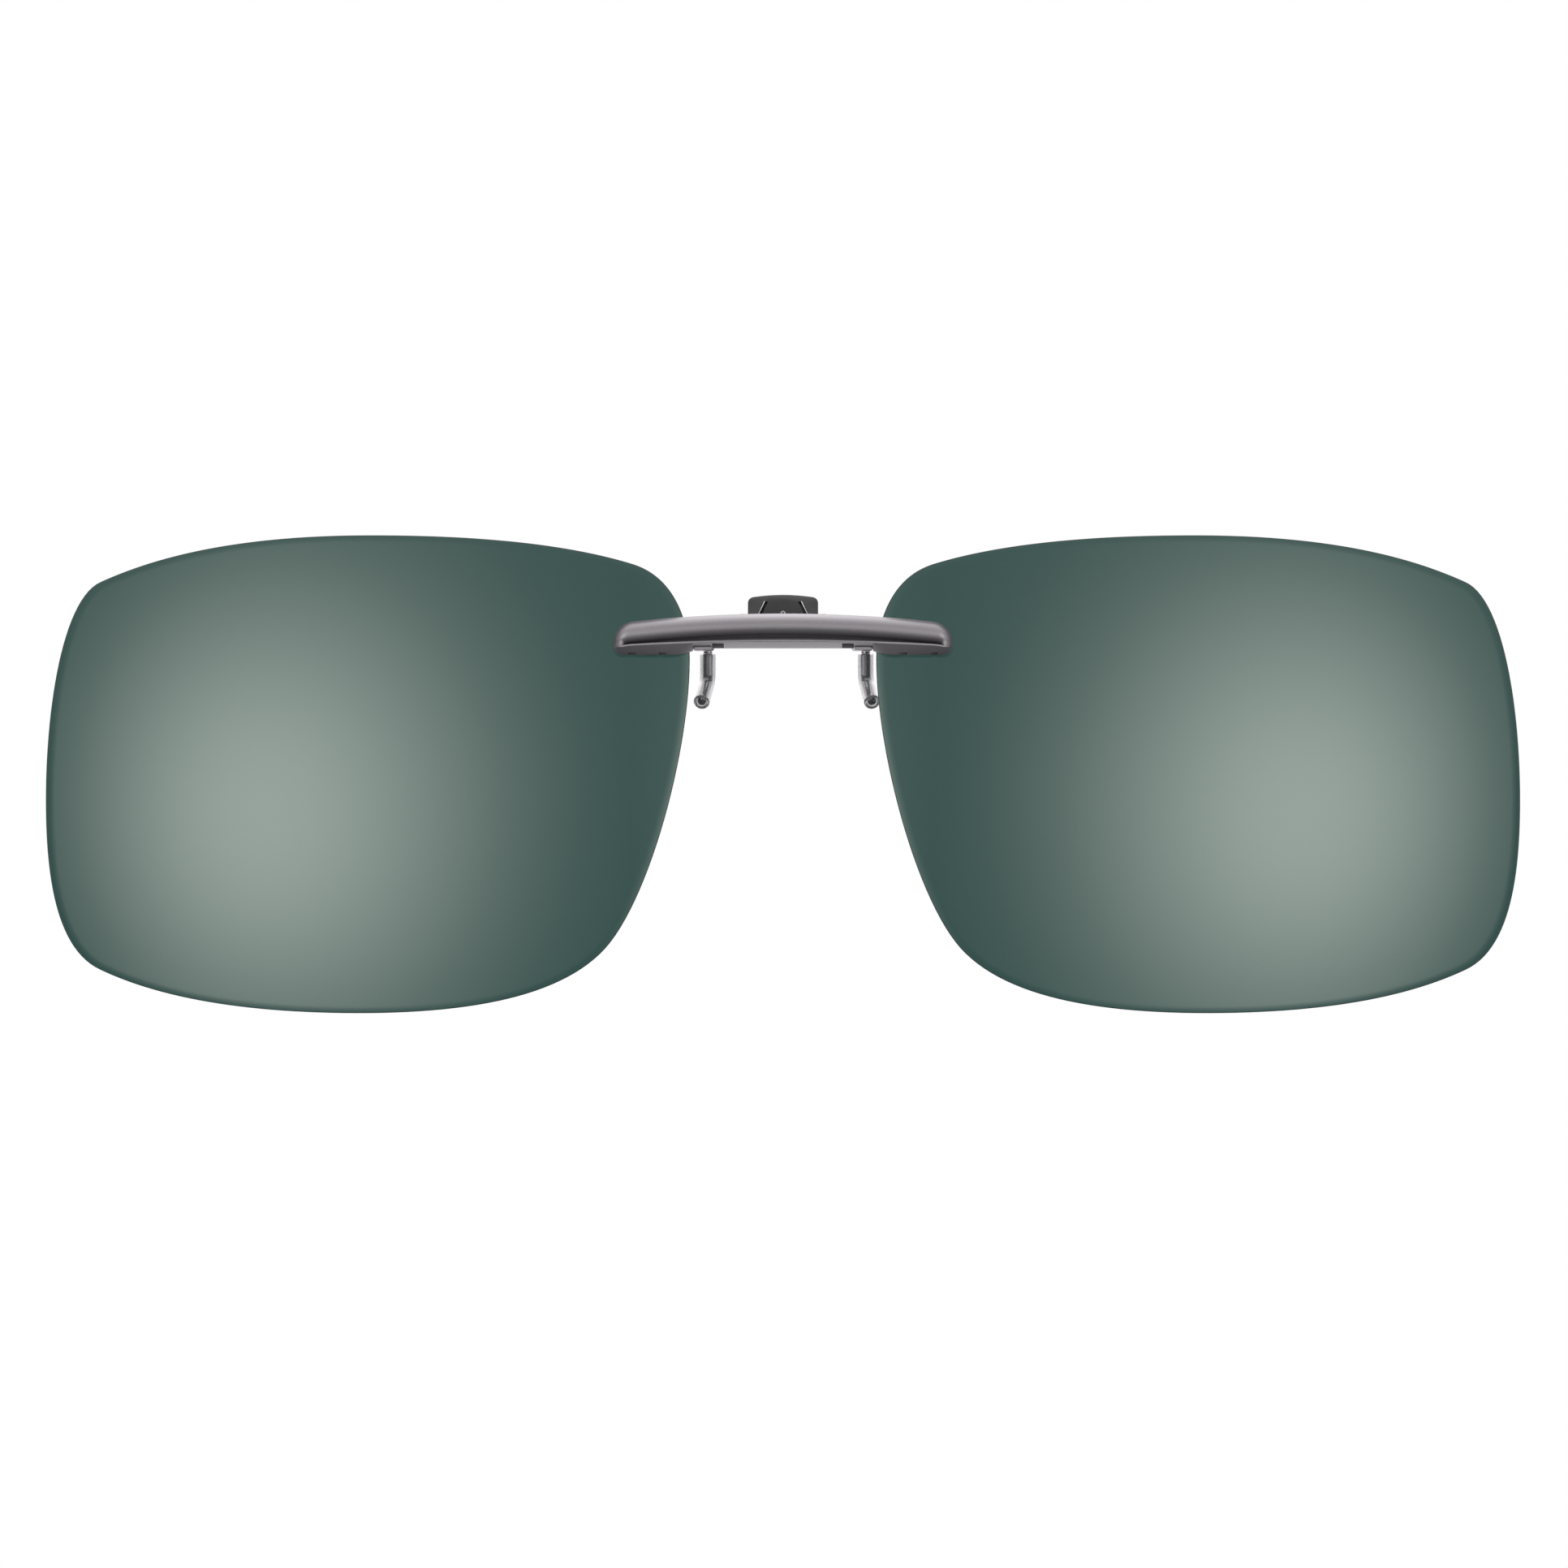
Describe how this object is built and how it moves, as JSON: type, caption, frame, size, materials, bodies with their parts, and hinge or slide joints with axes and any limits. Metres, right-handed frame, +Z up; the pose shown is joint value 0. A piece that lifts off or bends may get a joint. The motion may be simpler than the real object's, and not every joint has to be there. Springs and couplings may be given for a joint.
{
  "type": "clip-on sunglasses",
  "caption": "Tinted clip-on sunglass lenses on a short bridge bar, with a sprung thumb lever whose sleeved wire prongs grip the wearer's spectacles.",
  "frame": {"origin": "mid-plane of the clip, on the plane of the two jaw pads' rear faces, 11.6 mm above the lenses' mid-line", "axes": "+X to the viewer's right as seen from the front, +Y backwards towards the wearer's spectacles, +Z up as worn"},
  "size_m": [0.132, 0.0096, 0.0426],
  "materials": {
    "lens_tint": "smooth grey-green tinted polarising plastic, clear gloss",
    "bar_metal": "satin gunmetal coating with a fine grain",
    "chassis_plastic": "dark grey moulded plastic, satin",
    "wire_steel": "drawn spring wire, semi-bright",
    "spring_steel": "drawn spring wire, semi-bright",
    "fastener_steel": "plain bright steel",
    "lever_black": "black moulded plastic, satin",
    "clear_vinyl": "clear soft vinyl, glossy",
    "bushing_nylon": "natural nylon"
  },
  "bodies": {
    "clip": {"bridge_bar": "bar_metal", "rear_chassis": "chassis_plastic", "left_lens": "lens_tint", "left_inner_rivet": "fastener_steel", "left_inner_bushing": "bushing_nylon", "left_outer_rivet": "fastener_steel", "left_outer_bushing": "bushing_nylon", "left_chassis_screw": "fastener_steel", "left_jaw_pad": "clear_vinyl", "right_lens": "lens_tint", "right_inner_rivet": "fastener_steel", "right_inner_bushing": "bushing_nylon", "right_outer_rivet": "fastener_steel", "right_outer_bushing": "bushing_nylon", "right_chassis_screw": "fastener_steel", "right_jaw_pad": "clear_vinyl", "torsion_spring": "spring_steel"},
    "lever": {"thumb_lever": "lever_black", "prong_wire": "wire_steel", "left_prong_sleeve": "clear_vinyl", "right_prong_sleeve": "clear_vinyl"}
  },
  "joints": [
    {"name": "lever_hinge", "type": "hinge", "parent": "clip", "child": "lever", "pos_m": [0, 0.0025, 0.0015], "axis": [1, 0, 0], "range_deg": [0, 40], "stiffness_Nm_per_rad": 0.012, "springref_deg": -28.65, "deforming": ["torsion_spring"]}
  ]
}
